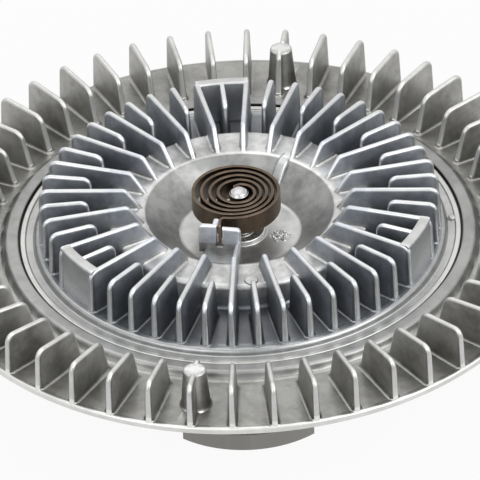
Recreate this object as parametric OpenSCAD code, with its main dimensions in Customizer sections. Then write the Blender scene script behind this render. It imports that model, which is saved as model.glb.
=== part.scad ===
// Viscous fan clutch: a finned aluminium housing and cover that turn on a steel hub.
// The hub's mounting face is the plane z = 0, and the shaft runs up the z axis.

/* [Hub] */
// Diameter of the mounting flange
hub_flange_d = 71.4; // [64:0.2:80]
// Thickness of the mounting flange
hub_flange_t = 7; // [5:0.5:9]
// Width of the open bolt slots in the mounting flange
hub_slot_w = 8.7; // [7:0.1:10]
// Radius at which the bolt slots end
hub_slot_r = 22.25; // [21:0.25:25]
// Number of bolt slots
hub_slot_count = 4; // [3:1:6]
// Diameter of the neck between flange and bearing
hub_neck_d = 32; // [30:0.5:34]
// Diameter of the pilot bore in the mounting face
pilot_d = 15.9; // [12:0.1:18]
// Depth of the pilot bore
pilot_depth = 12; // [8:0.5:18]
// Diameter of the shaft step that carries the drive disc
disc_seat_d = 18; // [16:0.5:20]

/* [Bearing] */
// Bore of the ball bearing
bearing_bore = 25; // [24:0.5:26]
// Outside diameter of the ball bearing
bearing_od = 52; // [50:0.5:54]
// Width of the ball bearing
bearing_w = 15; // [14:0.5:17]
// Number of balls
ball_count = 9; // [7:1:9]
// Diameter of a ball
ball_d = 8; // [7.5:0.1:8.2]

/* [Housing rim] */
// Outside diameter of the finned rim
rim_d = 210; // [208:1:216]
// Thickness of the finned rim
rim_t = 2.5; // [2:0.1:4]
// Height of the rim's rear face above the mounting face
rim_z = 60; // [57:0.5:70]
// Number of fins on the rim
rim_fin_count = 48; // [36:4:56]
// Height of the rim fins at their outer end
rim_fin_h = 15; // [14.5:0.5:20]
// Height of the rim fins at their inner end
rim_fin_inner_h = 13.4; // [11:0.2:14.4]
// Distance between the lip round the cover and the rim fins
rim_fin_gap = 3.2; // [2.6:0.1:6]
// Thickness of a fin at its foot
fin_base_t = 2.3; // [1.8:0.1:2.6]
// Thickness of a fin at its tip
fin_tip_t = 1.5; // [1:0.1:1.7]
// Angle of the first rim fin
rim_fin_angle = 4.7; // [0:0.1:7.5]

/* [Fan bolt bosses] */
// Number of bosses that the fan is bolted to
boss_count = 4; // [2:2:8]
// Bolt circle diameter
boss_pcd = 184; // [182:1:188]
// Height of the bosses above the rim
boss_h = 13.8; // [11:0.2:14.4]
// Diameter of a boss at its foot
boss_base_d = 9.6; // [9:0.1:12]
// Diameter of a boss at its top
boss_top_d = 7; // [6.4:0.1:8.6]
// Diameter of the tapped core hole
tap_d = 5; // [4:0.1:5.4]
// Diameter of the fan pads behind the rim
fan_pad_d = 18; // [14:0.5:20]
// Height of the fan pads behind the rim
fan_pad_h = 1.5; // [1:0.1:2.5]

/* [Housing body] */
// Diameter of the body behind the rim, which centres the fan
fan_pilot_d = 156; // [154:0.5:158]
// Depth of the fluid chamber below the rim's rear face
chamber_depth = 11.2; // [11:0.1:13]
// Radius of the fluid chamber
chamber_r = 66.5; // [65.5:0.1:68]
// Wall thickness of the housing web
web_t = 4.6; // [3.5:0.1:6]
// Wall around the bearing
sleeve_wall = 6; // [5:0.5:7]
// Number of ribs on the rear of the housing
rear_rib_count = 16; // [8:4:24]

/* [Cover] */
// Height of the fin platform above the rim
platform_h = 4; // [3.5:0.1:5]
// Radius of the fin platform
platform_r = 68.3; // [67.8:0.1:70]
// Width of the cover's edge outside the platform, which the housing's lip holds
cover_edge_w = 5.8; // [5.2:0.1:6.4]
// Number of long fins, with as many short ones between them
cover_fin_pairs = 24; // [18:3:24]
// Height of the cover fins above the platform
cover_fin_h = 15.5; // [12:0.5:18]
// Outer radius of the cover fins
cover_fin_r = 67; // [66.4:0.1:67.2]
// Radius where the short fins start
short_fin_r = 48.6; // [47:0.1:52]
// Angle of the first long fin
cover_fin_angle = 11.4; // [0:0.1:15]
// Number of bridges that join the outer ends of three fins
bridge_count = 3; // [1:1:3]
// Radial width of a bridge
bridge_w = 4.6; // [3:0.1:6]

/* [Dish] */
// Radius of the dish at its rim
dish_rim_r = 31.8; // [31:0.1:34]
// Radius of the dish floor
dish_floor_r = 20; // [18.5:0.1:21]
// Depth of the dish floor below the fin platform
dish_drop = 2; // [1:0.1:2.4]
// Height of the raised pads round the dish, above the platform
pad_h = 8; // [6:0.1:9]
// Outer radius of the raised pads
pad_r = 44.4; // [42:0.1:46]
// Wall thickness of the dish
dish_wall = 3.5; // [2.8:0.1:4]

/* [Thermal valve] */
// Diameter of the valve shaft
valve_d = 6.5; // [6:0.1:7]
// Thickness of the bimetal strip
strip_t = 1.1; // [0.8:0.05:1.2]
// Height of the bimetal strip
strip_h = 5.8; // [4:0.1:6.4]
// Outer radius of the bimetal coil
coil_r = 15.4; // [14.4:0.1:15.6]
// Sideways shift of the coil's outer turn
coil_shift = 0.8; // [0:0.1:1]
// Inner radius of the bimetal coil
coil_inner_r = 4.6; // [4.4:0.1:5]
// Number of turns of the bimetal coil
coil_turns = 4.6; // [3.6:0.1:4.6]
// Direction that the spring anchor faces
anchor_angle = -45; // [-60:1:-30]
// Sideways shift of the slot that holds the coil's outer end
anchor_slot_y = -6.8; // [-7.4:0.1:-6]
// Width of the spring anchor
anchor_w = 14; // [11:0.5:16]
// Thickness of the spring anchor
anchor_t = 3; // [2.4:0.1:3.4]
// Radius of the round end cap of the filling hole
fill_plug_r = 3.2; // [2.4:0.1:3.4]
// Direction of the filling hole, seen from the axis
fill_angle = 30; // [20:1:60]

/* [Fits] */
// Radial clearance of a turning fit
run_gap = 0.05; // [0.03:0.01:0.08]
// Clearance between parts that move past each other
free_gap = 0.8; // [0.6:0.05:1]
// Clearance between parts that are assembled and stay still
seat_gap = 0.3; // [0.2:0.05:0.4]

/* [Hidden] */
$fn = 96;

// How far a fin, rib or boss is sunk into the body that it was cast with
sink = 1;
// A cut reaches this far past the face that it opens
past = 1;

// Heights of the housing, from the mounting face up
rim_top = rim_z + rim_t;
chamber_z = rim_z - chamber_depth;
bearing_top = chamber_z - web_t - 0.2;
bearing_z = bearing_top - bearing_w;
sleeve_z = bearing_z - 4;
rim_r = rim_d / 2;
pilot_r = fan_pilot_d / 2;

// Heights of the cover
platform_z = rim_top + platform_h;
cover_fin_top = platform_z + cover_fin_h;
pad_z = platform_z + pad_h;
dish_z = platform_z - dish_drop;
dish_under = dish_z - dish_wall;
cover_r = platform_r + cover_edge_w;
cover_rim_top = rim_top + 2.6;
lip_r = cover_r + seat_gap;
lip_w = 4.4;
lip_lean = 0.9;
rim_fin_inner_r = lip_r + lip_w + rim_fin_gap;
valve_boss_r = 8.3;
valve_boss_z = dish_z + 1.7;
reservoir_r = pad_r - dish_wall;
port_r = reservoir_r - 9;
port_d = 7;
port_angle = 25;

// Drive disc, pump plate and valve arm, stacked in the chamber
plate_t = 1.2;
plate_top = rim_z - 1.4;
plate_r = 58.5;
arm_t = 1;
arm_z = plate_top + 0.3;
disc_t = 3.4;
disc_top = plate_top - plate_t - 1.4;
disc_r = chamber_r - 3 * free_gap;
disc_recess_r = 20;
disc_hub_top = disc_top - 2;
disc_hub_t = 4.2;
clip_t = 1.2;
land_h = disc_top - disc_t - chamber_z - free_gap;
land_count = 5;
land_r = reservoir_r;
land_step = (disc_r - land_r) / (land_count + 0.8);
land_w = 0.4 * land_step;
disc_hole_count = 6;
disc_hole_d = 7;
rivet_count = 4;
rivet_pcd = 104;
rivet_d = 4;
rivet_grip = 5;
rivet_head_t = 0.8;
rivet_head_d = 1.75 * rivet_d;

// Ball bearing
ball_pitch_r = (bearing_bore + bearing_od) / 4;
bearing_mid = bearing_z + bearing_w / 2;
groove_r = ball_d / 2 + 0.15;
race_gap = ball_d * 0.3;
inner_race_r = ball_pitch_r - race_gap;
outer_race_r = ball_pitch_r + race_gap;
cage_h = ball_d + 2;
seal_t = 1.2;

// Bimetal coil and its anchor
coil_top = cover_fin_top - 1.4;
coil_z = coil_top - strip_h;
coil_pitch = (coil_r - strip_t / 2 - coil_inner_r) / coil_turns;
coil_end = -14;
anchor_r = coil_r + 3.1;
anchor_top = cover_fin_top;
shelf_z = pad_z - 1.5;
slot_w = strip_t + 0.8;

aluminium = [0.78, 0.79, 0.80];
bright_aluminium = [0.84, 0.85, 0.87];
steel = [0.45, 0.44, 0.43];
bronze_brown = [0.33, 0.26, 0.22];
rubber_black = [0.08, 0.08, 0.08];

// Points and outlines

function unit(v) = v / norm(v);
function polar(r, a) = [r * cos(a), r * sin(a)];

// Arc of radius r that rounds the corner b between a and c
function corner_arc(a, b, c, r, steps) =
    let (u = unit(a - b), v = unit(c - b), half = acos(u * v) / 2)
    let (centre = b + unit(u + v) * r / sin(half))
    let (first = b + u * r / tan(half) - centre, last = b + v * r / tan(half) - centre)
    let (start = atan2(first[1], first[0]), turn = atan2(last[1], last[0]) - start)
    let (sweep = (turn + 540) % 360 - 180)
    [for (i = [0 : steps]) centre + polar(r, start + sweep * i / steps)];

// Outline whose corners are rounded with the given radii
function rounded(points, radii, steps = 4) =
    let (n = len(points))
    [for (i = [0 : n - 1])
        each radii[i] == 0 ? [points[i]]
            : corner_arc(points[(i + n - 1) % n], points[i], points[(i + 1) % n], radii[i], steps)];

// Ribbon of thickness t that follows a path
function ribbon(path, t) =
    let (n = len(path))
    let (along = [for (i = [0 : n - 1]) unit(path[min(i + 1, n - 1)] - path[max(i - 1, 0)])])
    let (side = [for (d = along) [-d[1], d[0]] * t / 2])
    concat([for (i = [0 : n - 1]) path[i] + side[i]], [for (i = [n - 1 : -1 : 0]) path[i] - side[i]]);

// Shapes that repeat

// Ring of rectangular section
module ring(inner_r, outer_r, low, high) {
    rotate_extrude()
        translate([inner_r, low])
            square([outer_r - inner_r, high - low]);
}

// Fin that stands radially: its outline is drawn as radius and height, and it thins towards its tip
module fin(outline, foot, tip) {
    draft = (fin_base_t - fin_tip_t) / (tip - foot);
    low_t = fin_base_t + draft * sink;
    intersection() {
        rotate([90, 0, 0])
            linear_extrude(2 * fin_base_t, center = true)
                polygon(outline);
        rotate([90, 0, 90])
            linear_extrude(rim_d)
                polygon([[-low_t / 2, foot - sink], [low_t / 2, foot - sink],
                    [fin_tip_t / 2, tip], [-fin_tip_t / 2, tip]]);
    }
}

// Copies of a shape at even steps round the axis
module around(count, first = 0) {
    for (i = [0 : count - 1])
        rotate(first + i * 360 / count)
            children();
}

// Retaining ring with a gap in it
module circlip(inner_r, outer_r, low, gap) {
    difference() {
        ring(inner_r, outer_r, low, low + clip_t);
        translate([0, -gap / 2, low - past])
            cube([outer_r + past, gap, clip_t + 2 * past]);
    }
}

// Hub

module hub_shaft() {
    shoulder_z = disc_hub_top - disc_hub_t;
    end_z = disc_hub_top + 2 * clip_t;
    groove_depth = 0.9;
    fillet = 4;
    chamfer = 0.4;
    seat_r = disc_seat_d / 2;
    neck_r = hub_neck_d / 2;
    flange_r = hub_flange_d / 2;
    color(steel)
    difference() {
        rotate_extrude()
            polygon(concat(
                [[0, 0], [flange_r - chamfer, 0], [flange_r, chamfer], [flange_r, hub_flange_t - chamfer],
                    [flange_r - chamfer, hub_flange_t]],
                corner_arc([flange_r, hub_flange_t], [neck_r, hub_flange_t], [neck_r, bearing_z], fillet, 6),
                [[neck_r, bearing_z - chamfer], [neck_r - chamfer, bearing_z], [bearing_bore / 2, bearing_z],
                    [bearing_bore / 2, bearing_top], [seat_r + 2, bearing_top], [seat_r + 2, shoulder_z],
                    [seat_r, shoulder_z], [seat_r, disc_hub_top], [seat_r - groove_depth, disc_hub_top],
                    [seat_r - groove_depth, disc_hub_top + clip_t], [seat_r, disc_hub_top + clip_t],
                    [seat_r, end_z - chamfer], [seat_r - chamfer, end_z], [0, end_z]]));
        translate([0, 0, -past])
            cylinder(d = pilot_d, h = pilot_depth + past);
        around(hub_slot_count)
            translate([0, 0, -past])
                linear_extrude(hub_flange_t + 2 * past) {
                    translate([hub_slot_r, 0])
                        circle(d = hub_slot_w);
                    translate([hub_slot_r, -hub_slot_w / 2])
                        square([flange_r, hub_slot_w]);
                }
    }
}

// Ball bearing

// One ring of the bearing, with the ball groove cut in it
module race(inner_r, outer_r) {
    color("silver")
    difference() {
        ring(inner_r, outer_r, bearing_z, bearing_top);
        rotate_extrude()
            translate([ball_pitch_r, bearing_mid])
                circle(r = groove_r);
    }
}

module bearing_inner_ring() {
    race(bearing_bore / 2, inner_race_r);
}

module bearing_outer_ring() {
    race(outer_race_r, bearing_od / 2);
}

module bearing_balls() {
    color("gainsboro")
    around(ball_count)
        translate([ball_pitch_r, 0, bearing_mid])
            sphere(d = ball_d);
}

module bearing_cage() {
    cage_half_w = 1.2;
    color("goldenrod")
    difference() {
        ring(ball_pitch_r - cage_half_w, ball_pitch_r + cage_half_w,
            bearing_mid - cage_h / 2, bearing_mid + cage_h / 2);
        around(ball_count)
            translate([ball_pitch_r, 0, bearing_mid])
                sphere(r = groove_r);
    }
}

// Rubber shield between the rings
module bearing_seal(low) {
    color(rubber_black)
    ring(inner_race_r + seat_gap, outer_race_r, low, low + seal_t);
}

module bearing_seal_front() {
    bearing_seal(bearing_top - seal_t - 0.3);
}

module bearing_seal_rear() {
    bearing_seal(bearing_z + 0.3);
}

module bearing_circlip() {
    color(steel)
    circlip(bearing_od / 2 - 2, bearing_od / 2 + clip_t, bearing_z - clip_t, bearing_od / 5);
}

// Housing

// Turned form of the housing: bearing sleeve, web, fluid chamber, finned rim and the lip round the cover
module housing_body() {
    sleeve_r = bearing_od / 2 + sleeve_wall;
    shoulder_r = bearing_od / 2 - 4;
    web_z = chamber_z - web_t;
    chamfer = 2;
    lip_out = lip_r + lip_w;
    rotate_extrude()
        polygon(concat(
            [[bearing_od / 2, sleeve_z], [sleeve_r - 1, sleeve_z], [sleeve_r, sleeve_z + 1]],
            corner_arc([sleeve_r, sleeve_z], [sleeve_r, web_z], [chamber_r, web_z], 4, 6),
            [[chamber_r, web_z], [pilot_r - chamfer, web_z + 3], [pilot_r, web_z + 3 + chamfer],
                [pilot_r, rim_z], [rim_r, rim_z], [rim_r, rim_top]],
            corner_arc([rim_r, rim_top], [lip_out + 0.6, rim_top], [lip_out, cover_rim_top], 1.2, 5),
            corner_arc([lip_out + 0.6, rim_top], [lip_out, cover_rim_top], [lip_r, cover_rim_top], 0.9, 4),
            [[lip_r - lip_lean, cover_rim_top], [lip_r - lip_lean, cover_rim_top - 0.3],
                [lip_r, cover_rim_top - 1.3], [lip_r, rim_z], [chamber_r, rim_z], [chamber_r, chamber_z],
                [shoulder_r, chamber_z], [shoulder_r, bearing_top], [bearing_od / 2, bearing_top]]));
}

// Fin on the finned rim
module rim_fin() {
    outer_r = rim_r - 0.4;
    fin(rounded([[outer_r, rim_top - sink], [outer_r - 0.6, rim_top + rim_fin_h],
            [rim_fin_inner_r + 3, rim_top + rim_fin_inner_h], [rim_fin_inner_r, rim_top - sink]],
            [0, 3, 3.4, 0]),
        rim_top, rim_top + rim_fin_h);
}

// Boss for a fan bolt, with the pad that the fan sits on behind the rim
module fan_boss() {
    translate([boss_pcd / 2, 0, rim_top - sink])
        cylinder(d1 = boss_base_d, d2 = boss_top_d, h = boss_h + sink);
    translate([boss_pcd / 2, 0, rim_z - fan_pad_h])
        cylinder(d = fan_pad_d, h = fan_pad_h + rim_t / 2);
}

// Stiffening rib between the bearing sleeve and the body
module rear_rib() {
    rib_t = 3;
    sleeve_r = bearing_od / 2 + sleeve_wall;
    rib_end = pilot_r - 5;
    rotate([90, 0, 0])
        linear_extrude(rib_t, center = true)
            polygon([[sleeve_r - sink, sleeve_z + 3], [sleeve_r + 2, sleeve_z + 3],
                [rib_end, chamber_z - web_t], [rib_end, chamber_z - 1], [sleeve_r - sink, chamber_z - 1]]);
}

module rear_housing() {
    tap_depth = boss_h + rim_t + fan_pad_h - 3;
    boss_angle = rim_fin_angle + 4 * 360 / rim_fin_count;
    color(aluminium)
    difference() {
        union() {
            housing_body();
            around(rim_fin_count, rim_fin_angle)
                rim_fin();
            around(boss_count, boss_angle)
                fan_boss();
            around(rear_rib_count)
                rear_rib();
            for (i = [0 : land_count - 1])
                ring(land_r + i * land_step - land_w / 2, land_r + i * land_step + land_w / 2,
                    chamber_z - sink, chamber_z + land_h);
        }
        around(boss_count, boss_angle)
            translate([boss_pcd / 2, 0, rim_z - fan_pad_h - past])
                cylinder(d = tap_d, h = tap_depth + past);
        ring(bearing_od / 2 - past, bearing_od / 2 + clip_t + seat_gap,
            bearing_z - clip_t, bearing_z);
    }
}

// Cover

// Turned form of the cover: rim, fin platform, raised pads, dish and the fluid reservoir behind it
module cover_body() {
    spigot_z = rim_z;
    groove_z = rim_z + 1.2;
    groove_w = 2.2;
    groove_depth = 1.9;
    ceiling = pad_z - dish_wall;
    rise = pad_z - dish_z;
    run = dish_rim_r - dish_floor_r;
    skew = dish_wall * norm([run, rise]) / rise;
    wall_foot_r = dish_floor_r + skew - dish_wall * run / rise;
    wall_top_r = dish_floor_r + skew + (ceiling - dish_z) * run / rise;
    floor_r = platform_r + 2.8;
    rotate_extrude()
        polygon(concat(
            [[valve_d / 2 + run_gap, dish_under], [wall_foot_r, dish_under], [wall_top_r, ceiling],
                [reservoir_r, ceiling], [reservoir_r, plate_top], [plate_r + seat_gap + 1, plate_top],
                [plate_r + seat_gap + 1, spigot_z], [cover_r, spigot_z], [cover_r, groove_z],
                [cover_r - groove_depth, groove_z], [cover_r - groove_depth, groove_z + groove_w],
                [cover_r, groove_z + groove_w], [cover_r, cover_rim_top - 1.4],
                [cover_r - lip_lean - 0.3, cover_rim_top - 0.1], [floor_r + 0.4, cover_rim_top - 0.1],
                [floor_r, cover_rim_top - 0.7], [platform_r + 0.6, cover_rim_top - 0.7]],
            corner_arc([platform_r + 0.6, cover_rim_top], [platform_r, platform_z], [pad_r, platform_z],
                0.7, 4),
            corner_arc([platform_r, platform_z], [pad_r + 1, platform_z], [pad_r, pad_z], 0.8, 4),
            corner_arc([pad_r + 1, platform_z], [pad_r, pad_z], [dish_rim_r, pad_z], 1.2, 4),
            corner_arc([pad_r, pad_z], [dish_rim_r, pad_z], [dish_floor_r, dish_z], 1.6, 5),
            corner_arc([dish_rim_r, pad_z], [dish_floor_r, dish_z], [valve_boss_r, dish_z], 5, 6),
            [[valve_boss_r, dish_z], [valve_boss_r - 0.5, valve_boss_z],
                [valve_d / 2 + run_gap, valve_boss_z]]));
}

// Long fin, from the dish to the outer edge of the platform
module long_fin() {
    fin(rounded([[cover_fin_r, platform_z - sink], [cover_fin_r - 0.5, cover_fin_top],
            [dish_rim_r + 6, cover_fin_top], [dish_rim_r + 0.4, pad_z - sink], [pad_r, pad_z - 2 * sink],
            [pad_r, platform_z - sink]],
            [0, 3, 2, 0, 0, 0]),
        platform_z, cover_fin_top);
}

// Short fin, on the outer part of the platform only
module short_fin() {
    fin(rounded([[cover_fin_r, platform_z - sink], [cover_fin_r - 0.5, cover_fin_top],
            [short_fin_r + 1.4, cover_fin_top], [short_fin_r, platform_z - sink]],
            [0, 3, 3, 0]),
        platform_z, cover_fin_top);
}

// Wall that joins the outer ends of a long, a short and a long fin
module bridge() {
    half_angle = 180 / cover_fin_pairs + atan(fin_base_t / 2 / cover_fin_r);
    rotate(-half_angle)
        rotate_extrude(angle = 2 * half_angle)
            polygon([[cover_fin_r - bridge_w - 0.6, platform_z - sink], [cover_fin_r, platform_z - sink],
                [cover_fin_r - 0.5, cover_fin_top], [cover_fin_r - bridge_w, cover_fin_top]]);
}

// Slotted post on a shelf of the dish wall, which holds the outer end of the bimetal coil
module spring_anchor() {
    shelf_w = anchor_w - 3.4;
    finger_w = 1.4;
    finger_l = 3.4;
    rotate(anchor_angle)
        translate([anchor_r, anchor_slot_y, 0])
            difference() {
                union() {
                    translate([0, -shelf_w / 2, dish_z - sink])
                        cube([dish_rim_r - anchor_r - sink, shelf_w, shelf_z - dish_z + sink]);
                    translate([0, -anchor_w / 2, shelf_z - sink])
                        cube([anchor_t, anchor_w, anchor_top - shelf_z + sink]);
                    translate([-finger_l, -slot_w / 2 - finger_w, coil_top - strip_h / 3])
                        cube([finger_l + sink, finger_w, strip_h / 3]);
                }
                translate([-finger_l - past, -slot_w / 2, shelf_z])
                    cube([finger_l + anchor_t + 2 * past, slot_w, anchor_top - shelf_z + past]);
            }
}

module front_cover() {
    pair_angle = 360 / cover_fin_pairs;
    color(bright_aluminium)
    difference() {
        union() {
            cover_body();
            around(cover_fin_pairs, cover_fin_angle)
                long_fin();
            around(cover_fin_pairs, cover_fin_angle + pair_angle / 2)
                short_fin();
            around(bridge_count, cover_fin_angle + pair_angle / 2)
                bridge();
            spring_anchor();
        }
        rotate(fill_angle)
            translate([(dish_floor_r + valve_boss_r) / 2 - 0.5, 0, dish_under - past])
                cylinder(r = fill_plug_r, h = dish_wall + 2 * past);
        around(rivet_count)
            translate([rivet_pcd / 2, 0, plate_top - past])
                cylinder(d = rivet_d, h = rivet_grip + past);
    }
}

module cover_o_ring() {
    section_r = 0.95;
    color(rubber_black)
    rotate_extrude()
        translate([cover_r - section_r + seat_gap / 2, rim_z + 2.3])
            circle(r = section_r);
}

module fill_plug() {
    color(aluminium)
    rotate(fill_angle)
        translate([(dish_floor_r + valve_boss_r) / 2 - 0.5, 0, dish_under]) {
            cylinder(r = fill_plug_r, h = dish_wall);
            translate([0, 0, dish_wall])
                cylinder(r1 = fill_plug_r, r2 = fill_plug_r - 0.8, h = 0.5);
        }
}

// Drive disc and pump plate

module drive_disc() {
    land_low = chamber_z + free_gap;
    color("silver")
    difference() {
        union() {
            ring(disc_recess_r, disc_r, disc_top - disc_t, disc_top);
            ring(disc_seat_d / 2, disc_recess_r + sink, disc_hub_top - disc_hub_t, disc_hub_top);
            for (i = [0 : land_count - 1])
                ring(land_r + (i + 0.5) * land_step - land_w / 2, land_r + (i + 0.5) * land_step + land_w / 2,
                    land_low, disc_top - disc_t + sink);
        }
        around(disc_hole_count)
            translate([(disc_recess_r + land_r) / 2 + 1, 0, chamber_z])
                cylinder(d = disc_hole_d, h = chamber_depth);
    }
}

module disc_circlip() {
    color(steel)
    circlip(disc_seat_d / 2 - 0.9, disc_seat_d / 2 + 2.6, disc_hub_top, 5);
}

// Steel plate that closes the reservoir, with the port that the valve arm opens
module pump_plate() {
    color("lightsteelblue")
    difference() {
        ring(0, plate_r, plate_top - plate_t, plate_top);
        rotate(port_angle)
            translate([port_r, 0, plate_top - plate_t - past])
                cylinder(d = port_d, h = plate_t + 2 * past);
        around(rivet_count)
            translate([rivet_pcd / 2, 0, plate_top - plate_t - past])
                cylinder(d = rivet_d, h = plate_t + 2 * past);
    }
}

module plate_rivets() {
    color(steel)
    around(rivet_count)
        translate([rivet_pcd / 2, 0, plate_top - plate_t - rivet_head_t]) {
            cylinder(d = rivet_head_d, h = rivet_head_t);
            cylinder(d = rivet_d, h = rivet_head_t + plate_t + rivet_grip - seat_gap);
        }
}

// Small dam on the plate's edge that pushes fluid back to the reservoir
module wiper_block() {
    wiper_l = 9;
    color("dimgray")
    rotate(45)
        translate([plate_r - 4, -wiper_l / 2, plate_top - plate_t - 0.9])
            cube([4, wiper_l, 0.9]);
}

// Thermal valve

module valve_arm() {
    color(steel)
    rotate(port_angle)
        translate([0, 0, arm_z])
            difference() {
                linear_extrude(arm_t)
                    union() {
                        circle(r = 7);
                        translate([0, -4])
                            square([port_r, 8]);
                        translate([port_r, 0])
                            circle(d = port_d + 4);
                    }
                translate([0, 0, -past])
                    cylinder(d = valve_d - 2, h = arm_t + 2 * past);
            }
}

module valve_shaft() {
    shaft_r = valve_d / 2;
    stub_r = shaft_r - 1;
    groove_r1 = shaft_r - 1.1;
    clip_r = shaft_r - 0.5;
    ring_z = dish_z - 1.2;
    clip_z = valve_boss_z + 0.2;
    dome = 0.9;
    color("gainsboro")
    difference() {
        rotate_extrude()
            polygon(concat(
                [[0, arm_z], [stub_r, arm_z], [stub_r, arm_z + arm_t], [shaft_r, arm_z + arm_t],
                    [shaft_r, ring_z], [groove_r1, ring_z], [groove_r1, ring_z + 1.4],
                    [shaft_r, ring_z + 1.4],
                    [shaft_r, clip_z], [clip_r, clip_z], [clip_r, clip_z + 0.8], [shaft_r, clip_z + 0.8]],
                [for (a = [0 : 15 : 90]) [shaft_r * cos(a), coil_top + dome * sin(a)]]));
        rotate(anchor_angle + coil_end + coil_turns * 360)
            translate([-shaft_r - past, -slot_w / 2, coil_z - 0.6])
                cube([2 * shaft_r + 2 * past, slot_w, strip_h + 0.6 + dome + past]);
    }
}

module valve_o_ring() {
    section_r = 0.55;
    color(rubber_black)
    rotate_extrude()
        translate([valve_d / 2 - section_r, dish_z - 0.5])
            circle(r = section_r);
}

module valve_circlip() {
    color(steel)
    difference() {
        ring(valve_d / 2 - 0.5, valve_d / 2 + 1.6, valve_boss_z + 0.2, valve_boss_z + 1);
        translate([0, -1.2, valve_boss_z])
            cube([valve_d, 2.4, 2]);
    }
}

module bimetal_coil() {
    steps = 36;
    count = steps * coil_turns;
    start = coil_end + coil_turns * 360;
    shaft_r = valve_d / 2;
    slot_in = [anchor_r - 0.3, anchor_slot_y];
    slot_out = [anchor_r + anchor_t + 0.8, anchor_slot_y];
    inner_tang = [for (r = [0.4 - shaft_r, 0, shaft_r, shaft_r + 0.65]) polar(r, start)];
    spiral = [for (i = [3 : count])
        polar(coil_inner_r + coil_pitch * i / steps, start - i * 360 / steps) - [0, coil_shift * i / count]];
    last = spiral[len(spiral) - 1];
    bend = [last + [0.5, -1.2], slot_in - [1.8, -0.6]];
    color(bronze_brown)
    translate([0, 0, coil_z])
        linear_extrude(strip_h)
            rotate(anchor_angle)
                polygon(ribbon(concat(inner_tang, spiral, bend, [slot_in, slot_out]), strip_t));
}

hub_shaft();
bearing_inner_ring();
bearing_outer_ring();
bearing_balls();
bearing_cage();
bearing_seal_front();
bearing_seal_rear();
bearing_circlip();
rear_housing();
front_cover();
cover_o_ring();
drive_disc();
disc_circlip();
pump_plate();
plate_rivets();
wiper_block();
valve_arm();
valve_shaft();
valve_o_ring();
valve_circlip();
bimetal_coil();
fill_plug();
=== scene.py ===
import bmesh
import bpy
import math
from mathutils import Matrix, Vector, noise


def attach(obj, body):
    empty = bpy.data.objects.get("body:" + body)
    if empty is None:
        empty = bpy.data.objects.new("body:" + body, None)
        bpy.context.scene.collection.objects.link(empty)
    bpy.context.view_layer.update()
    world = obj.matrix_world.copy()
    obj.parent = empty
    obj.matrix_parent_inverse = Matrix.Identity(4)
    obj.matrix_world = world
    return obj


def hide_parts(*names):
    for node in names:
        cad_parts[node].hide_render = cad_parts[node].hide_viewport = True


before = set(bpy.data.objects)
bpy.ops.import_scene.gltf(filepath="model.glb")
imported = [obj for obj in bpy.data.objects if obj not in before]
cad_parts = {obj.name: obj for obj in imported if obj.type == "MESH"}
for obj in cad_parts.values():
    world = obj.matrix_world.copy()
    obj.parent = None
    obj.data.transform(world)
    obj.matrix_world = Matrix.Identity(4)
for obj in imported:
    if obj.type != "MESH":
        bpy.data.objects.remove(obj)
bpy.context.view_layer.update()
mm = 0.001
axisR = 0.02  # a turned profile stops this far from its own axis


# outlines, in millimetres

def polar(r, angle, z=None):
    x, y = r * math.cos(math.radians(angle)), r * math.sin(math.radians(angle))
    return (x, y) if z is None else (x, y, z)


def quarterTurn(steps):
    return [math.pi / 2 * k / steps for k in range(steps + 1)]


def roundedOutline(corners, steps=5):  # corners are (x, y, radius)
    points = []
    count = len(corners)
    for i, (x, y, radius) in enumerate(corners):
        here = Vector((x, y))
        if radius == 0:
            points.append((x, y))
            continue
        before = (Vector(corners[i - 1][:2]) - here).normalized()
        after = (Vector(corners[(i + 1) % count][:2]) - here).normalized()
        half = before.angle(after) / 2
        centre = here + (before + after).normalized() * radius / math.sin(half)
        first = here + before * radius / math.tan(half) - centre
        last = here + after * radius / math.tan(half) - centre
        start = math.atan2(first.y, first.x)
        sweep = math.remainder(math.atan2(last.y, last.x) - start, math.tau)
        for k in range(steps + 1):
            a = start + sweep * k / steps
            points.append((centre.x + radius * math.cos(a), centre.y + radius * math.sin(a)))
    return points


def insetOutline(points, distance, sharpest=0.35):  # points run anticlockwise
    inner = []
    for i, p in enumerate(points):
        here = Vector(p)
        a = (here - Vector(points[i - 1])).normalized()
        b = (Vector(points[(i + 1) % len(points)]) - here).normalized()
        normal = (Vector((-a.y, a.x)) + Vector((-b.y, b.x))).normalized()
        lean = max(sharpest, math.sqrt((1 + a.dot(b)) / 2))
        inner.append(tuple(here + normal * distance / lean))
    return inner


def roundedRect(x0, x1, y0, y1, radius, steps=4, straight=0.001):
    r = min(radius, (x1 - x0) / 2 - straight, (y1 - y0) / 2 - straight)
    return roundedOutline([(x1, y0, r), (x1, y1, r), (x0, y1, r), (x0, y0, r)], steps)


def shouldered(outline, gap, longSide=3):  # points beside the corners keep edge wear and painted highlight off the flats
    points = []
    for i, p in enumerate(outline):
        here, after = Vector(p), Vector(outline[(i + 1) % len(outline)])
        points.append(p)
        if (after - here).length > longSide * gap:
            ahead = (after - here).normalized() * gap
            points += [tuple(here + ahead), tuple(after - ahead)]
    return points


def bezier(a, b, c, d, count):
    points = []
    for i in range(count + 1):
        t = i / count
        weights = ((1 - t) ** 3, 3 * t * (1 - t) ** 2, 3 * t * t * (1 - t), t ** 3)
        points.append(tuple(sum(w * p[k] for w, p in zip(weights, (a, b, c, d))) for k in (0, 1)))
    return points


# shells: each is (points, faces), in millimetres

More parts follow.
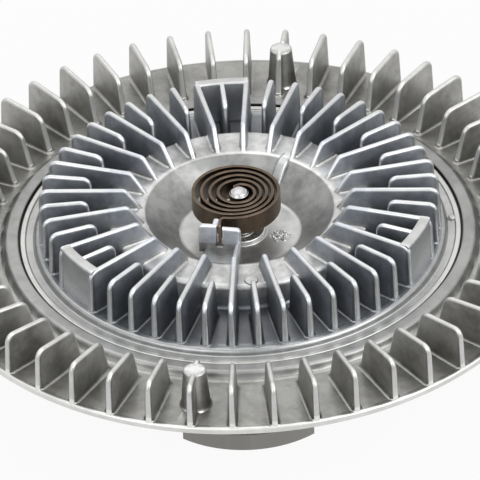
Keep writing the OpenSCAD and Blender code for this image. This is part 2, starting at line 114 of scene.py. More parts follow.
def lathe(profile, segments=192, turn=360.0):
    n = len(profile)
    whole = turn >= 360
    rings = segments if whole else segments + 1
    points = [polar(r, turn * i / segments, z) for i in range(rings) for r, z in profile]
    faces = []
    for i in range(segments):
        a, b = i * n, ((i + 1) % rings) * n
        faces += [(a + k, b + k, b + (k + 1) % n, a + (k + 1) % n) for k in range(n)]
    if not whole:
        faces += [tuple(range(n)), tuple(reversed(range(segments * n, segments * n + n)))]
    return points, faces


def loft(rings):  # closed loops with equal counts, capped at both ends
    n = len(rings[0])
    points = [p for ring in rings for p in ring]
    faces = []
    for i in range(len(rings) - 1):
        a, b = i * n, (i + 1) * n
        faces += [(a + k, a + (k + 1) % n, b + (k + 1) % n, b + k) for k in range(n)]
    last = (len(rings) - 1) * n
    faces += [tuple(reversed(range(n))), tuple(range(last, last + n))]
    return points, faces


def turned(shell, angle):
    c, s = math.cos(math.radians(angle)), math.sin(math.radians(angle))
    points, faces = shell
    return [(x * c - y * s, x * s + y * c, z) for x, y, z in points], faces


def moved(shell, dx, dy=0.0):
    points, faces = shell
    return [(x + dx, y + dy, z) for x, y, z in points], faces


def joined(shells):
    points, faces = [], []
    for shellPoints, shellFaces in shells:
        base = len(points)
        points += shellPoints
        faces += [tuple(base + k for k in face) for face in shellFaces]
    return points, faces


def plate(outline, z0, z1, edge, steps=3, shoulder=0.2):  # flat outline with rounded top edges
    outline = shouldered(outline, edge + shoulder)
    rings = [[(x, y, z) for x, y in outline] for z in (z0, z1 - edge - shoulder)]
    for a in quarterTurn(steps):
        inner = insetOutline(outline, edge * (1 - math.cos(a)))
        rings.append([(x, y, z1 - edge + edge * math.sin(a)) for x, y in inner])
    return loft(rings)


def finBlade(outline, foot, tip, baseWidth, tipWidth, edge, steps=4, wearGap=0.6):
    rounded = 2 * edge / tipWidth  # share of the width that the edge takes

    def half(z):
        return (baseWidth + (tipWidth - baseWidth) * (z - foot) / (tip - foot)) / 2

    def sideRings(side):
        rings = []
        for a in quarterTurn(steps):
            reach = side * (1 - rounded + rounded * math.sin(a))
            inner = insetOutline(outline, edge * (1 - math.cos(a)))
            rings.append([(r, reach * half(z), z) for r, z in inner])
        flat = insetOutline(outline, edge + wearGap)  # keeps edge wear and painted highlight off the flat side
        return rings + [[(r, side * half(z), z) for r, z in flat]]

    shared = 1 if rounded >= 1 else 0  # a full round has one ring in its middle
    return loft(sideRings(1)[::-1] + sideRings(-1)[shared:])


fillet = dict(skirt=[(1.2, -0.9), (0.25, -0.12)], corner=0.95, capInset=0.4, capRise=0.3, steps=5)


def footFillet(span, halfWidth, floor, radius, growIn, growOut):
    r0, r1 = span
    stages = [(radius + out, rise) for out, rise in fillet["skirt"]]  # sunk in the floor
    for a in quarterTurn(fillet["steps"]):
        stages.append((radius * (1 - math.sin(a)), radius * (1 - math.cos(a))))
    rings = []
    for grow, rise in stages:
        wide = halfWidth + grow
        loop = roundedRect(r0 - grow * growIn, r1 + grow * growOut, -wide, wide, wide * fillet["corner"])
        rings.append([(x, y, floor + rise) for x, y in loop])
    inset = fillet["capInset"]
    cap = roundedRect(r0 + inset, r1 - inset, inset - halfWidth, halfWidth - inset, halfWidth)
    rings.append([(x, y, floor + radius + fillet["capRise"]) for x, y in cap])  # inside the fin
    return loft(rings)


def ribbonSweep(path, z0, z1, width, edge, steps):  # strip on edge that follows a path
    section = roundedRect(-width / 2, width / 2, z0, z1, edge, steps)
    rings = []
    for i, p in enumerate(path):
        ahead = Vector(path[min(i + 1, len(path) - 1)]) - Vector(path[max(i - 1, 0)])
        side = Vector((-ahead.y, ahead.x)).normalized()
        rings.append([(p[0] + side.x * u, p[1] + side.y * u, z) for u, z in section])
    return loft(rings)


def newMesh(name, shell, scale=1.0):
    mesh = bpy.data.meshes.new(name)
    mesh.from_pydata([(x * scale, y * scale, z * scale) for x, y, z in shell[0]], [], shell[1])
    mesh.validate()
    work = bmesh.new()
    work.from_mesh(mesh)
    bmesh.ops.recalc_face_normals(work, faces=work.faces)
    work.to_mesh(mesh)
    work.free()
    return mesh


def cutAway(shell, tool):
    items = []
    for part in (shell, tool):
        item = bpy.data.objects.new("scratch", newMesh("scratch", part))
        bpy.context.scene.collection.objects.link(item)
        items.append(item)
    cut = items[0].modifiers.new("cut", "BOOLEAN")
    cut.operation, cut.solver, cut.object = "DIFFERENCE", "EXACT", items[1]
    done = items[0].evaluated_get(bpy.context.evaluated_depsgraph_get()).to_mesh()
    result = [tuple(v.co) for v in done.vertices], [tuple(p.vertices) for p in done.polygons]
    for item in items:
        bpy.data.objects.remove(item)
    return result


def makePiece(name, shell, material, body, replaced, smoothAngle=38):
    mesh = newMesh(name, shell, mm)
    mesh.polygons.foreach_set("use_smooth", [True] * len(mesh.polygons))
    mesh.set_sharp_from_angle(angle=math.radians(smoothAngle))
    mesh.materials.append(material)
    piece = bpy.data.objects.new(name, mesh)
    bpy.context.scene.collection.objects.link(piece)
    weighted = piece.modifiers.new("flatFaces", "WEIGHTED_NORMAL")
    weighted.keep_sharp = True
    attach(piece, body)
    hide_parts(replaced)
    print(name, "made,", len(mesh.polygons), "faces")


# shader maths: a socket with operators, and one method for every other node

class Value:
    def __init__(self, finish, socket):
        self.finish, self.socket = finish, socket

    def combine(self, operation, a, b):
        return self.finish.add("ShaderNodeMath", {"operation": operation}, {0: a, 1: b})

    def __add__(self, other):
        return self.combine("ADD", self, other)

    def __radd__(self, other):
        return self.combine("ADD", other, self)

    def __sub__(self, other):
        return self.combine("SUBTRACT", self, other)

    def __rsub__(self, other):
        return self.combine("SUBTRACT", other, self)

    def __mul__(self, other):
        return self.combine("MULTIPLY", self, other)

    def __rmul__(self, other):
        return self.combine("MULTIPLY", other, self)


class Finish:
    def __init__(self, owner):  # a material or a world
        owner.use_nodes = True
        self.owner, self.tree = owner, owner.node_tree
        self.tree.nodes.clear()

    def add(self, kind, settings=None, sockets=None, out=0):
        node = self.tree.nodes.new(kind)
        for key, value in (settings or {}).items():
            setattr(node, key, value)
        for key, value in (sockets or {}).items():
            if isinstance(value, Value):
                self.tree.links.new(value.socket, node.inputs[key])
            else:
                node.inputs[key].default_value = value
        return Value(self, node.outputs[out]) if len(node.outputs) else node

    def scaled(self, vector, factors):
        return self.add("ShaderNodeVectorMath", {"operation": "MULTIPLY"}, {0: vector, 1: factors})

    def noise(self, vector, scale, detail, roughness):
        sockets = {"Vector": vector, "Scale": scale, "Detail": detail, "Roughness": roughness}
        return self.add("ShaderNodeTexNoise", {}, sockets)

    def ramp(self, value, low, high):
        return self.add("ShaderNodeMapRange", {"clamp": True}, {0: value, 1: low, 2: high, 3: 0.0, 4: 1.0})

    def within(self, value, low, high, soft):  # 1 between low and high, with soft ends
        return self.ramp(value, low - soft, low) * self.ramp(value, high + soft, high)

    def mix(self, factor, a, b):
        first, second = ((*colour, 1.0) if isinstance(colour, tuple) else colour for colour in (a, b))
        return self.add("ShaderNodeMix", {"data_type": "RGBA"}, {0: factor, 6: first, 7: second}, out=2)

    def bump(self, height, strength, distance):
        return self.add("ShaderNodeBump", {}, {"Height": height, "Strength": strength, "Distance": distance})

    def background(self):  # the rays that show the plain background
        camera, glossy, through = (self.add("ShaderNodeLightPath", out=name)
                                   for name in ("Is Camera Ray", "Is Glossy Ray", "Is Transmission Ray"))
        return self.add("ShaderNodeMath", {"operation": "MINIMUM"}, {0: camera + glossy + through, 1: 1.0})

    def surface(self, sockets):
        shader = self.add("ShaderNodeBsdfPrincipled", {}, sockets)
        self.add("ShaderNodeOutputMaterial", {}, {"Surface": shader})
        return self.owner


# metal and rubber: mottled tone, rubbed edges with painted highlight, painted shade in hollows, and plain
# areas with a tone of their own, some of them darkened or lightened as painted shade or highlight

surfaceMix = dict(
    broadNoise=(3.0, 0.6), patchNoise=(4.0, 0.65), grainNoise=(3.0, 0.6),  # detail and roughness
    wearAndHighlight=(0.512, 0.565), wornRough=0.16,  # pointiness of the rubbed edges, lightened as wear and as painted highlight
    tone=(0.40, 0.60), broadTone=0.55, patchTone=0.45,
    rubBase=0.88, rubPatch=0.24,
    middle=0.5, grainRough=0.08, patchRough=0.14,
    grainBump=0.5, patchBump=0.6, polishBump=3.5, bumpDepth=0.2 * mm,
    openSamples=6, zoneSoft=0.4 * mm)


def zone(r, z, dark, light, wearAndHighlightShare, polish):  # r and z are spans, in millimetres
    return dict(r=[end * mm for end in r], z=[end * mm for end in z],
                dark=dark, light=light, wearAndHighlightShare=wearAndHighlightShare, polish=polish)


def castMetal(name, look):
    m = surfaceMix
    f = Finish(bpy.data.materials.new(name))
    place = f.add("ShaderNodeTexCoord", out="Object")
    flat = f.scaled(place, (1, 1, 0))
    radial = f.add("ShaderNodeVectorMath", {"operation": "LENGTH"}, {0: flat}, out="Value")
    height = f.add("ShaderNodeSeparateXYZ", {}, {0: place}, out="Z")
    # stretch draws the tone into streaks: on the hub these are vertical bands of painted sheen
    toneAndSheenPlace = f.scaled(place, (1, 1, look["sheenStretch"]))
    broad = f.noise(toneAndSheenPlace, look["blotch"], *m["broadNoise"])
    patch = f.noise(toneAndSheenPlace, look["patch"], *m["patchNoise"])
    grain = f.noise(place, look["grain"], *m["grainNoise"])
    # rubbed edges: lighter as real wear and as a painted highlight
    wearAndHighlight = f.ramp(f.add("ShaderNodeNewGeometry", out="Pointiness"), *m["wearAndHighlight"])
    openness = f.add("ShaderNodeAmbientOcclusion", {"samples": m["openSamples"], "only_local": True},
                     {"Distance": look["reach"]}, out="AO")
    paintedShadeMask = 1 - f.ramp(openness, *look["shade"])  # painted shade: darker deep between fins
    tone = f.ramp(broad * m["broadTone"] + patch * m["patchTone"], *m["tone"])
    colour = f.mix(tone, look["dark"], look["light"])
    polish = 0.0
    for area in look["zones"]:
        inside = f.within(radial, *area["r"], m["zoneSoft"]) * f.within(height, *area["z"], m["zoneSoft"])
        colour = f.mix(inside, colour, f.mix(tone, area["dark"], area["light"]))
        wearAndHighlight = wearAndHighlight * (1 - inside * (1 - area["wearAndHighlightShare"]))
        polish = polish + inside * area["polish"]
    # painted shade: hollows that little light reaches are mixed towards a dark colour
    colour = f.mix(paintedShadeMask * look["paintedShade"], colour, look["paintedShadeColour"])
    # edges mixed towards a light colour: rubbed wear and painted highlight
    colour = f.mix(wearAndHighlight * look["wearAndHighlightStrength"] * (m["rubBase"] + patch * m["rubPatch"]), colour, look["edge"])
    rough = look["rough"] - polish + (grain - m["middle"]) * m["grainRough"]
    rough = rough + (patch - m["middle"]) * m["patchRough"] - wearAndHighlight * m["wornRough"]
    relief = (grain * m["grainBump"] + patch * m["patchBump"]) * (1 - polish * m["polishBump"])
    return f.surface({"Base Color": colour, "Metallic": look["metallic"], "Roughness": rough,
                      "Normal": f.bump(relief, look["bump"], m["bumpDepth"])})


# in every finish, deep and dirt set the painted shade in hollows
coverFinish = dict(
    light=(0.575, 0.605, 0.65), dark=(0.365, 0.392, 0.435),
    # edge: colour of rubbed edges and painted highlight, in every finish
    edge=(0.82, 0.835, 0.86), paintedShadeColour=(0.08, 0.083, 0.09),
    rough=0.50, metallic=0.90, blotch=55.0, patch=260.0, grain=1100.0, sheenStretch=1.0, bump=0.05,
    reach=0.014, shade=(0.08, 0.56), paintedShade=0.68, wearAndHighlightStrength=0.85,
    zones=[
        zone((0.0, 20.5), (0.0, 67.2), (0.44, 0.44, 0.427), (0.60, 0.60, 0.585), 0.8, 0.14),  # dish floor
        zone((20.5, 31.6), (0.0, 75.2), (0.215, 0.22, 0.216), (0.385, 0.385, 0.374), 0.4, 0.14),  # dish wall, darker: painted shade
        zone((31.6, 44.8), (0.0, 75.8), (0.43, 0.43, 0.42), (0.74, 0.74, 0.73), 0.3, 0.12),  # pads
        zone((45.0, 66.0), (0.0, 66.8), (0.22, 0.23, 0.24), (0.31, 0.32, 0.335), 0.3, 0.14),  # floor between fins, darker: painted shade
        zone((65.2, 67.6), (0.0, 80.6), (0.30, 0.31, 0.325), (0.42, 0.435, 0.45), 0.6, 0.10),  # fin ends
        zone((67.6, 76.0), (0.0, 66.8), (0.42, 0.425, 0.415), (0.53, 0.53, 0.52), 0.2, 0.12),  # outer ring
        zone((67.0, 69.0), (64.6, 66.8), (0.32, 0.328, 0.33), (0.42, 0.428, 0.43), 0.2, 0.08),  # step, darkened: painted shade
        zone((45.0, 67.5), (81.6, 83.0), (0.46, 0.46, 0.448), (0.58, 0.58, 0.565), 1.0, 0.12),  # fin tops
        zone((3.0, 9.2), (64.8, 67.2), (0.68, 0.68, 0.67), (0.82, 0.82, 0.81), 0.6, 0.14),  # shaft boss
        zone((71.6, 74.2), (64.0, 65.5), (0.56, 0.56, 0.53), (0.68, 0.68, 0.65), 0.3, 0.05)])  # outer bead
rimFinish = dict(
    light=(0.50, 0.495, 0.473), dark=(0.295, 0.291, 0.276),
    edge=(0.86, 0.86, 0.85), paintedShadeColour=(0.07, 0.07, 0.068),
    rough=0.50, metallic=0.90, blotch=50.0, patch=240.0, grain=1000.0, sheenStretch=1.0, bump=0.06,
    reach=0.014, shade=(0.10, 0.60), paintedShade=0.58, wearAndHighlightStrength=0.8,
    zones=[
        zone((79.6, 104.3), (0.0, 62.9), (0.28, 0.277, 0.261), (0.44, 0.437, 0.413), 1.0, 0.16),  # rim floor
        zone((74.2, 79.6), (0.0, 67.0), (0.29, 0.293, 0.286), (0.39, 0.393, 0.384), 0.2, 0.14),  # rolled lip, darkened: painted shade
        zone((103.2, 104.4), (0.0, 76.0), (0.28, 0.28, 0.275), (0.40, 0.40, 0.395), 0.5, 0.10),  # fin ends
        zone((70.0, 74.2), (0.0, 65.0), (0.05, 0.05, 0.05), (0.07, 0.07, 0.07), 0.0, 0.0),  # gap at cover, near black: painted shade
        zone((104.3, 106.0), (0.0, 64.0), (0.60, 0.60, 0.58), (0.72, 0.72, 0.70), 1.0, 0.10)])  # machined rim edge, lighter: own tone and painted highlight
# hub: stretched tone gives vertical bands of painted sheen
hubFinish = dict(
    light=(0.14, 0.134, 0.126), dark=(0.05, 0.048, 0.045),
    edge=(0.31, 0.303, 0.288), paintedShadeColour=(0.04, 0.038, 0.035),
    rough=0.42, metallic=1.0, blotch=45.0, patch=120.0, grain=1200.0, sheenStretch=0.04, bump=0.08,
    reach=0.006, shade=(0.1, 0.6), paintedShade=0.4, wearAndHighlightStrength=0.6, zones=[])
coilFinish = dict(
    light=(0.118, 0.084, 0.058), dark=(0.066, 0.046, 0.032),
    edge=(0.30, 0.235, 0.18), paintedShadeColour=(0.008, 0.006, 0.005),
    rough=0.36, metallic=1.0, blotch=200.0, patch=600.0, grain=2000.0, sheenStretch=1.0, bump=0.10,
    reach=0.003, shade=(0.1, 0.6), paintedShade=0.6, wearAndHighlightStrength=0.7, zones=[])
steelFinish = dict(
    light=(0.58, 0.58, 0.58), dark=(0.47, 0.47, 0.47),
    edge=(0.74, 0.74, 0.74), paintedShadeColour=(0.25, 0.25, 0.25),
    rough=0.24, metallic=1.0, blotch=120.0, patch=500.0, grain=1500.0, sheenStretch=1.0, bump=0.06,
    reach=0.004, shade=(0.1, 0.6), paintedShade=0.4, wearAndHighlightStrength=0.6, zones=[])
rubberFinish = dict(
    light=(0.03, 0.03, 0.03), dark=(0.02, 0.02, 0.02),
    edge=(0.05, 0.05, 0.05), paintedShadeColour=(0.01, 0.01, 0.01),
    rough=0.7, metallic=0.0, blotch=120.0, patch=500.0, grain=1500.0, sheenStretch=1.0, bump=0.1,
    reach=0.004, shade=(0.1, 0.6), paintedShade=0.4, wearAndHighlightStrength=0.5, zones=[])

coverMetal = castMetal("coverAluminium", coverFinish)
rimMetal = castMetal("rimAluminium", rimFinish)
hubMetal = castMetal("hubSteel", hubFinish)
coilMetal = castMetal("coilBimetal", coilFinish)
steelMetal = castMetal("brightSteel", steelFinish)
rubberSkin = castMetal("sealRubber", rubberFinish)
print("finishes made")


# rear housing: turned body, finned rim, fan bolt bosses with tapped holes, rear ribs

housing = dict(
    body=[(26.0, 25.2, 0.5), (32.0, 25.2, 1.2), (32.0, 44.2, 4.0), (66.5, 44.2, 8.0), (76.0, 47.2, 2.0),
          (78.0, 49.2, 1.5), (78.0, 60.0, 1.6), (105.0, 60.0, 0.8), (105.0, 62.5, 0.8), (79.4, 62.5, 2.2),
          (78.2, 65.3, 1.5), (73.85, 65.3, 0.4), (73.95, 63.2, 0.2), (74.4, 63.0, 0.2), (74.4, 60.0, 0.2),
          (66.5, 60.0, 0.4), (66.5, 48.8, 0.8), (22.0, 48.8, 0.6), (22.0, 44.0, 0.3), (26.0, 44.0, 0.2)],
    fin=[(104.7, 61.5, 0), (103.9, 77.4, 3.2), (86.0, 75.8, 4.2), (82.2, 61.5, 0)],
    bossInner=[(90.0, 61.5, 0), (90.0, 76.9, 0), (86.4, 76.7, 2.6), (82.2, 61.5, 0)],  # inward of a boss
    bossOuter=[(104.7, 61.5, 0), (103.9, 77.4, 3.0), (94.6, 76.7, 1.2), (94.0, 61.5, 0)],  # outward of it
    finCount=48, finStart=4.7, finFoot=62.5, finTip=77.5,
    baseWidth=2.4, tipWidth=1.8, finEdge=0.9, finSteps=6,
    footSpan=(82.6, 104.5), footTrim=0.05, footGrow=(1.0, 0.05), filletR=1.0,
    boss=[(2.5, 60.8, 0), (5.9, 62.0, 0), (4.75, 63.2, 1.1), (3.7, 76.3, 0.7), (axisR, 76.3, 0),
          (axisR, 73.3, 0), (2.5, 73.3, 0)],
    pad=[(2.9, 58.5, 0), (9.0, 58.5, 0.6), (9.2, 60.6, 0), (2.5, 60.6, 0), (2.5, 58.9, 0)],
    bossCount=4, bossFin=4, bossPlace=92.0, bossSides=40,
    tap=[(axisR, 59.0), (2.5, 59.0), (2.5, 64.0), (axisR, 64.0)], tapSides=32,
    rib=[(31.0, 28.2), (34.0, 28.2), (73.0, 44.6), (73.0, 47.8), (31.0, 47.8)],
    ribCount=16, ribSpan=(28.0, 48.0), ribWidth=3.0, ribEdge=0.7)


def buildHousing(h):
    step = 360 / h["finCount"]
    finsPerBoss = h["finCount"] // h["bossCount"]
    bossAngles = [h["finStart"] + (h["bossFin"] + i * finsPerBoss) * step for i in range(h["bossCount"])]
    taps = [turned(moved(lathe(h["tap"], h["tapSides"]), h["bossPlace"]), angle) for angle in bossAngles]
    shells = [cutAway(lathe(roundedOutline(h["body"])), joined(taps))]
    wholeFin, innerFin, outerFin = (
        finBlade(roundedOutline(h[key], h["finSteps"]), h["finFoot"], h["finTip"],
                 h["baseWidth"], h["tipWidth"], h["finEdge"])
        for key in ("fin", "bossInner", "bossOuter"))
    half = h["baseWidth"] / 2 - h["footTrim"]
    foot = footFillet(h["footSpan"], half, h["finFoot"], h["filletR"], *h["footGrow"])
    for i in range(h["finCount"]):
        atBoss = i % finsPerBoss == h["bossFin"]
        blades = (innerFin, outerFin) if atBoss else (wholeFin,)
        shells += [turned(shell, h["finStart"] + i * step) for shell in (*blades, foot)]
    for angle in bossAngles:
        for key in ("boss", "pad"):
            shell = lathe(roundedOutline(h[key]), h["bossSides"])
            shells.append(turned(moved(shell, h["bossPlace"]), angle))
    rib = finBlade(h["rib"], *h["ribSpan"], h["ribWidth"], h["ribWidth"], h["ribEdge"])
    shells += [turned(rib, i * 360 / h["ribCount"]) for i in range(h["ribCount"])]
    return joined(shells)


makePiece("housingCasting", buildHousing(housing), rimMetal, "housing", "rear_housing")


# front cover: turned body with dish and pads, long and short fins, bridges

cover = dict(
    body=[(3.4, 61.0, 0), (21.3, 61.0, 1.0), (33.1, 71.0, 1.5), (40.9, 71.0, 1.0), (40.9, 58.6, 0.4),
          (59.8, 58.6, 0.2), (59.8, 60.0, 0.2), (74.1, 60.0, 0.3), (74.1, 63.2, 0.3), (73.5, 63.4, 0.2),
          (73.3, 64.7, 0.45), (71.7, 64.7, 0.3), (71.3, 64.2, 0.3), (68.9, 64.2, 0.5), (68.3, 66.5, 1.7),
          (45.6, 66.5, 1.2), (44.4, 74.5, 1.8), (31.8, 74.5, 2.6), (20.0, 64.5, 2.4), (8.8, 64.5, 0.4),
          (8.3, 66.2, 0.5), (3.4, 66.2, 0)],
    longFin=[(67.0, 65.5, 0), (66.4, 82.0, 3.2), (37.6, 82.0, 2.2),
             (31.6, 73.6, 0), (44.0, 72.6, 0), (44.0, 65.5, 0)],
    shortFin=[(67.0, 65.5, 0), (66.4, 82.0, 3.2), (50.0, 82.0, 3.0), (48.6, 65.5, 0)],
    bridgedFin=[(64.0, 65.5, 0), (63.2, 81.9, 0), (50.0, 81.9, 3.0), (48.6, 65.5, 0)],  # ends in the bridge
    bridge=[(61.6, 65.5, 0), (66.3, 65.5, 0), (65.7, 82.0, 0.8), (62.2, 82.0, 0.7)],
    bridges=3, bridgeSteps=16, bridgeOverlap=0.5, finEnd=67.0,
    floor=66.5, top=82.0, pad=74.5, pairs=24, start=11.4,
    baseWidth=2.4, tipWidth=1.8, finEdge=0.9, finSteps=6,
    longFoot=(45.5, 66.6), shortFoot=(49.0, 66.6), bridgedFoot=(49.0, 64.0), padFoot=(33.5, 44.0),
    footTrim=0.05, footGrow=(1.0, 0.6), padTrim=0.15, padGrow=(0.3, 0.2), filletR=0.9,
    marks=[(70.6, 47.6, 64.1, 1.35, 1.0),  # dot on the outer ring: place, angle, height, size, rise
           (41.5, -41.0, 74.4, 2.35, 0.45)],  # ejector mark on a pad
    markSink=0.5, markTaper=0.96, markRound=0.7, markSides=24,
    wallRib=[(26.0, 63.8), (34.0, 70.4), (34.0, 74.9), (30.6, 74.9),
             (27.9, 73.5), (21.6, 66.4), (20.8, 63.8)],  # in the dish
    wallRibAngle=105.0, wallRibWidth=4.2, wallRibEdge=1.3)


def buildCover(c):
    step = 360 / c["pairs"]
    shells = [lathe(roundedOutline(c["body"]))]
    longFin, shortFin, bridgedFin = (
        finBlade(roundedOutline(c[key], c["finSteps"]), c["floor"], c["top"],
                 c["baseWidth"], c["tipWidth"], c["finEdge"])
        for key in ("longFin", "shortFin", "bridgedFin"))
    half = c["baseWidth"] / 2 - c["footTrim"]
    longFoot, shortFoot, bridgedFoot = (
        footFillet(c[key], half, c["floor"], c["filletR"], *c["footGrow"])
        for key in ("longFoot", "shortFoot", "bridgedFoot"))
    padFoot = footFillet(c["padFoot"], half - c["padTrim"], c["pad"], c["filletR"], *c["padGrow"])
    for i in range(c["pairs"]):
        angle = c["start"] + i * step
        shells += [turned(shell, angle) for shell in (longFin, longFoot, padFoot)]
        bridged = i % (c["pairs"] // c["bridges"]) == 0
        between = (bridgedFin, bridgedFoot) if bridged else (shortFin, shortFoot)
        shells += [turned(shell, angle + step / 2) for shell in between]
    spread = step / 2 + math.degrees(c["bridgeOverlap"] / c["finEnd"])
    wall = lathe(roundedOutline(c["bridge"]), c["bridgeSteps"], 2 * spread)
    wallStart = c["start"] + step / 2 - spread
    shells += [turned(wall, wallStart + i * 360 / c["bridges"]) for i in range(c["bridges"])]
    for place, angle, z, size, rise in c["marks"]:
        low, high = z - c["markSink"], z + rise
        mark = roundedOutline([(axisR, low, 0), (size, low, 0),
                               (size * c["markTaper"], high, rise * c["markRound"]), (axisR, high, 0)])
        shells.append(turned(moved(lathe(mark, c["markSides"]), place), angle))
    ribWidth = c["wallRibWidth"]
    rib = finBlade(c["wallRib"], c["floor"], c["pad"], ribWidth, ribWidth, c["wallRibEdge"])
    shells.append(turned(rib, c["wallRibAngle"]))
    return joined(shells)


# spring anchor on the cover: shelf, slotted post, finger over the coil, web to the nearest long fin

anchor = dict(
    angle=-45.0, top=82.0,
    shelf=[(18.6, -11.9, 1.0), (32.0, -14.2, 0), (32.0, -1.2, 0), (18.6, -1.7, 1.0)],
    shelfLow=63.5, shelfTop=73.0, shelfEdge=1.0,
    postCentre=(20.4, -6.8), postTurn=-11.0, postLow=71.5, postSide=7.0, postCorner=1.4, postEdge=0.6,
    baseThick=2.6, topThick=1.9, drop=0.8, slot=0.9, slotLow=74.2,  # one half stands lower by the drop
    finger=(-4.9, -0.8), fingerLow=78.7, fingerWidth=1.9, fingerDrop=0.6, fingerEdge=0.6,
    web=[(17.4, 65.5, 0), (17.4, 81.2, 0), (-0.4, 75.6, 1.2), (-0.4, 65.5, 0)],
    webPlace=(21.6, -0.8), webAngle=-6.0, webLow=66.5, webBase=2.4, webTip=1.8, webEdge=0.9)


def buildAnchor(a):
    side, slot, corner = a["postSide"], a["slot"], a["postCorner"]
    low, top, lowerTop = a["postLow"], a["top"], a["top"] - a["drop"]
    slotted = roundedOutline([
        (-side, low, 0), (side, low, 0), (side, lowerTop, corner), (slot, lowerTop, 0),
        (slot, a["slotLow"], 0), (-slot, a["slotLow"], 0), (-slot, top, 0), (-side, top, corner)])
    post = turned(finBlade(slotted, low, top, a["baseThick"], a["topThick"], a["postEdge"]), 90)
    x0, x1 = a["finger"]
    finger = plate(roundedRect(x0, x1, -slot - a["fingerWidth"], -slot, a["fingerEdge"]),
                   a["fingerLow"], top - a["fingerDrop"], a["fingerEdge"])
    web = finBlade(roundedOutline(a["web"]), a["webLow"], top, a["webBase"], a["webTip"], a["webEdge"])
    shells = [moved(turned(joined([post, finger]), a["postTurn"]), *a["postCentre"]),
              moved(turned(web, a["webAngle"]), *a["webPlace"]),
              plate(roundedOutline(a["shelf"]), a["shelfLow"], a["shelfTop"], a["shelfEdge"])]
    return turned(joined(shells), a["angle"])


coverShell = joined([buildCover(cover), buildAnchor(anchor)])
makePiece("coverCasting", coverShell, coverMetal, "housing", "front_cover")


# bimetal coil: inner end across the shaft, spiral turns, outer end in the post's slot

coil = dict(low=73.8, high=80.6, width=1.1, edge=0.2, edgeSteps=3, angle=-45.0,
            innerEnd=(-2.85, 0.0, 2.2, 3.2, 3.9), firstStep=5, stepsPerTurn=64,
            inner=4.6, pitch=2.38, turns=4.6, end=-14.0, shift=(1.2, 1.75),
            bend=1.7, bendSteps=10, leadIn=2.4, slotY=-6.8, slotIn=18.2, slotOut=19.4, smooth=50)


def buildCoil(c):
    steps = c["stepsPerTurn"]
    count = int(steps * c["turns"])
    start = c["end"] + c["turns"] * 360
    path = [polar(r, start) for r in c["innerEnd"]]
    for i in range(c["firstStep"], count + 1):
        x, y = polar(c["inner"] + c["pitch"] * i / steps, start - i * 360 / steps)
        path.append((x - c["shift"][0] * i / count, y - c["shift"][1] * i / count))
    (x0, y0), (x1, y1) = path[-2:]
    reach = c["bend"] / math.hypot(x1 - x0, y1 - y0)
    ahead = (x1 + (x1 - x0) * reach, y1 + (y1 - y0) * reach)
    leadIn = (c["slotIn"] - c["leadIn"], c["slotY"])
    path += bezier((x1, y1), ahead, leadIn, (c["slotIn"], c["slotY"]), c["bendSteps"])[1:]
    path.append((c["slotOut"], c["slotY"]))
    strip = ribbonSweep(path, c["low"], c["high"], c["width"], c["edge"], c["edgeSteps"])
    return turned(strip, c["angle"])


makePiece("bimetalCoil", buildCoil(coil), coilMetal, "housing", "bimetal_coil", coil["smooth"])


# valve shaft with its domed end and clip, and the staked plug in the dish floor

clip = dict(section=[(2.75, 66.4, 0.1), (4.85, 66.4, 0.2), (4.85, 67.2, 0.3), (2.75, 67.2, 0.1)],
            segments=60, turn=318.0, start=156.0)
valve = dict(profile=[(axisR, 60.6, 0), (3.22, 60.6, 0.2), (3.22, 80.3, 0.3), (3.0, 80.4, 0),
                      (2.7, 81.0, 0.6), (1.6, 81.7, 0.8), (axisR, 81.8, 0)], segments=48)
plug = dict(angle=30.0, place=13.65, radius=3.4, low=62.6, high=64.62, rings=14, edgeRings=2, sides=44,
            smooth=60, depth=0.85, dents=[(1.1, 3.7, 1.0), (2.3, 8.1, 0.6)])  # fineness, seed, share


def buildClip(c):
    return turned(lathe(roundedOutline(c["section"]), c["segments"], c["turn"]), c["start"])


def buildPlug(p):
    rings = [[polar(p["radius"], 360 * k / p["sides"], p["low"]) for k in range(p["sides"])]]
    for i in range(p["rings"]):
        r = p["radius"] * (1 - i / p["rings"])
        depth = p["depth"] * min(1.0, i / p["edgeRings"])  # none at the very edge
        loop = []
        for k in range(p["sides"]):
            x, y = polar(r, 360 * k / p["sides"])
            dent = sum(share * noise.noise(Vector((x * fine, y * fine, seed)))
                       for fine, seed, share in p["dents"])
            loop.append((x, y, p["high"] + depth * dent))
        rings.append(loop)
    return turned(moved(loft(rings), p["place"]), p["angle"])


valveShell = lathe(roundedOutline(valve["profile"]), valve["segments"])
makePiece("shaftClip", buildClip(clip), steelMetal, "valve", "valve_circlip")
makePiece("valveShaft", valveShell, steelMetal, "valve", "valve_shaft")
makePiece("fillPlug", buildPlug(plug), coverMetal, "housing", "fill_plug", plug["smooth"])


# carried-over solids keep their shape and take a finish

nodeFinishes = {
    hubMetal: ["hub_shaft", "bearing_circlip"],
    steelMetal: ["bearing_inner_ring", "bearing_outer_ring", "bearing_balls", "bearing_cage",
                 "disc_circlip", "pump_plate", "plate_rivets", "valve_arm"],
    coverMetal: ["drive_disc"],
    rubberSkin: ["bearing_seal_front", "bearing_seal_rear", "cover_o_ring", "valve_o_ring", "wiper_block"],
}
for material, names in nodeFinishes.items():
    for name in names:
        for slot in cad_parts[name].material_slots:
            slot.material = material
print("carried-over solids finished")


# floor, light and camera

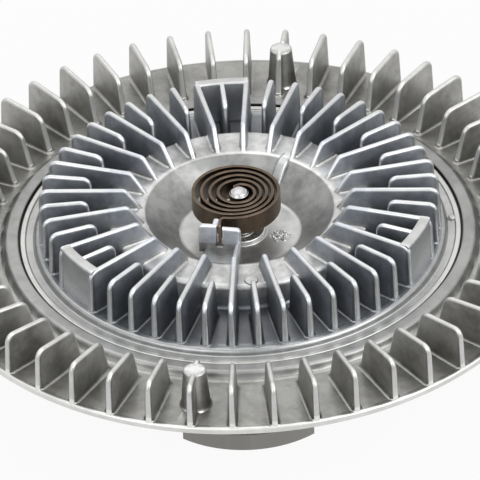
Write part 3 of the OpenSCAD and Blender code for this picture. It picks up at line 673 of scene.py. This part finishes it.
studio = dict(floor=(0.86, 0.86, 0.86), floorRough=0.9, floorHalf=4.0, floorGlow=0.93, ambient=0.40,
              white=(1.0, 1.0, 1.0, 1.0))
lamps = dict(keyPanel=dict(place=(-0.35, 0.15, 1.15), size=1.3, power=3.0),
             sidePanel=dict(place=(0.85, 0.15, 0.8), size=1.0, power=5.5),
             frontPanel=dict(place=(0.22, -0.92, 0.62), size=0.8, power=2.4))
lampTarget = (0.0, 0.0, 0.06)
view = dict(azimuth=45.0, elevation=35.76, roll=-2.34, target=(0.0, 0.0, 0.0625), distance=2.1,
            lens=473.6, sensor=36.0, near=0.1, far=50.0, pixels=480, shift=(-0.63, -3.5))  # shift in pixels


def makeStage(s):
    half = s["floorHalf"]
    mesh = bpy.data.meshes.new("floor")
    corners = [(-half, -half, 0), (half, -half, 0), (half, half, 0), (-half, half, 0)]
    mesh.from_pydata(corners, [], [(0, 1, 2, 3)])
    floor = bpy.data.objects.new("floor", mesh)
    bpy.context.scene.collection.objects.link(floor)
    f = Finish(bpy.data.materials.new("paleFloor"))
    lit = f.add("ShaderNodeBsdfPrincipled", {},
                {"Base Color": (*s["floor"], 1.0), "Roughness": s["floorRough"]})
    glow = f.add("ShaderNodeEmission", {}, {"Color": s["white"], "Strength": 1.0})
    mixed = f.add("ShaderNodeMixShader", {}, {0: f.background() * s["floorGlow"], 1: lit, 2: glow})
    f.add("ShaderNodeOutputMaterial", {}, {"Surface": mixed})
    mesh.materials.append(f.owner)


def makeWorld(s):
    world = bpy.data.worlds.new("studio")
    bpy.context.scene.world = world
    f = Finish(world)
    strength = f.background() * (1 - s["ambient"]) + s["ambient"]
    light = f.add("ShaderNodeBackground", {}, {"Color": s["white"], "Strength": strength})
    f.add("ShaderNodeOutputWorld", {}, {"Surface": light})


def makeLamp(name, place, size, power):
    data = bpy.data.lights.new(name, "AREA")
    data.shape, data.size, data.energy = "DISK", size, power
    lamp = bpy.data.objects.new(name, data)
    lamp.location = place
    lamp.rotation_euler = (Vector(lampTarget) - Vector(place)).to_track_quat("-Z", "Y").to_euler()
    bpy.context.scene.collection.objects.link(lamp)


def makeCamera(v):
    around, above, roll = (math.radians(v[key]) for key in ("azimuth", "elevation", "roll"))
    back = Vector((math.sin(around) * math.cos(above), -math.cos(around) * math.cos(above), math.sin(above)))
    right = Vector((math.cos(around), math.sin(around), 0))
    up = back.cross(right)
    tiltedRight = right * math.cos(roll) + up * math.sin(roll)
    tiltedUp = up * math.cos(roll) - right * math.sin(roll)
    data = bpy.data.cameras.new("camera")
    data.lens, data.sensor_width = v["lens"], v["sensor"]
    data.shift_x, data.shift_y = (pixels / v["pixels"] for pixels in v["shift"])
    data.clip_start, data.clip_end = v["near"], v["far"]
    camera = bpy.data.objects.new("camera", data)
    spin = Matrix((tiltedRight, tiltedUp, back)).transposed().to_4x4()
    camera.matrix_world = Matrix.Translation(Vector(v["target"]) + back * v["distance"]) @ spin
    bpy.context.scene.collection.objects.link(camera)
    bpy.context.scene.camera = camera


makeStage(studio)
makeWorld(studio)
for name, settings in lamps.items():
    makeLamp(name, **settings)
makeCamera(view)
bpy.context.scene.view_settings.view_transform = "Standard"
print("stage made")
